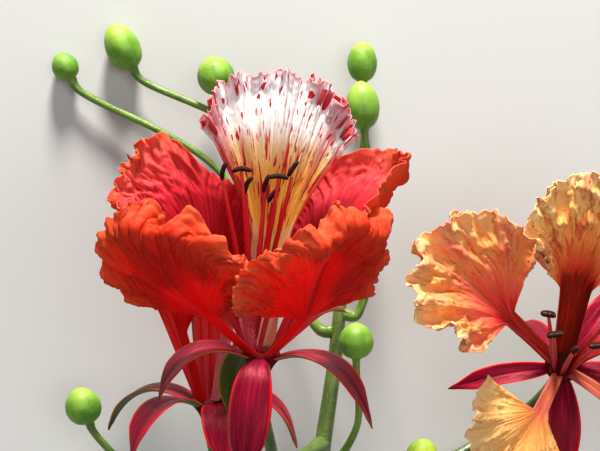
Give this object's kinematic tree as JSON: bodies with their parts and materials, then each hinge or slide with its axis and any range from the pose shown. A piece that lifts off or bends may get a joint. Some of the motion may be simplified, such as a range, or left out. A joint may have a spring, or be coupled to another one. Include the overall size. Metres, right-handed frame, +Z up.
{
  "type": "cut flowering spray of a flame tree",
  "caption": "Cut spray of a flame tree lying on its back: ruffled red blooms with long claws, reflexed maroon sepals and stamens, and round green buds on stalks, on one forked stem.",
  "frame": {"origin": "centre of the bounding box, on the floor that the spray lies on", "axes": "+Z up, the side that the picture shows; +Y from the cut end of the stem to the tips of the blooms and buds; +X to the right as the picture shows it"},
  "size_m": [0.1846, 0.1834, 0.1175],
  "materials": {
    "petal_red": "thin soft red petal, orange at its ruffled rim, slightly translucent",
    "petal_white": "cream petal with crimson dashes and a yellow throat, matt",
    "petal_orange": "orange petal flushed red, pleated and slightly translucent",
    "sepal": "leathery maroon face with a soft sheen, green behind",
    "filament": "smooth red stalk of a stamen",
    "anther": "matt dark brown",
    "stem": "smooth green stem, waxy",
    "bud": "smooth bright green bud, waxy"
  },
  "bodies": {
    "root": {"front_petal_right": "petal_red", "front_petal_left": "petal_red", "front_petal_back_left": "petal_red", "front_petal_back_right": "petal_red", "front_petal_standard": "petal_white", "front_sepal_1": "sepal", "front_sepal_2": "sepal", "front_sepal_3": "sepal", "front_sepal_4": "sepal", "front_sepal_5": "sepal", "front_centre": "filament", "front_anther_1": "anther", "front_anther_2": "anther", "front_anther_3": "anther", "front_anther_4": "anther", "front_anther_5": "anther", "front_anther_6": "anther", "front_anther_7": "anther", "front_anther_8": "anther", "front_anther_9": "anther", "front_anther_10": "anther", "front_pistil": "filament", "front_pedicel": "stem", "left_petal_front_right": "petal_red", "left_petal_front_left": "petal_red", "left_petal_back_left": "petal_red", "left_petal_back_right": "petal_red", "left_petal_standard": "petal_red", "left_sepal_1": "sepal", "left_sepal_2": "sepal", "left_sepal_3": "sepal", "left_sepal_4": "sepal", "left_sepal_5": "sepal", "left_centre": "filament", "left_pedicel": "stem", "right_petal_upper_left": "petal_orange", "right_petal_lower_left": "petal_orange", "right_petal_lower_right": "petal_orange", "right_petal_upper_right": "petal_orange", "right_petal_standard": "petal_orange", "right_sepal_1": "sepal", "right_sepal_2": "sepal", "right_sepal_3": "sepal", "right_sepal_4": "sepal", "right_sepal_5": "sepal", "right_centre": "filament", "right_pedicel": "stem", "stem": "stem", "bud_high_left": "bud", "bud_far_left": "bud", "bud_top": "bud", "bud_right_upper": "bud", "bud_right_lower": "bud", "bud_low_right": "bud", "bud_low_left": "bud", "bud_low_front": "bud"}
  },
  "joints": []
}
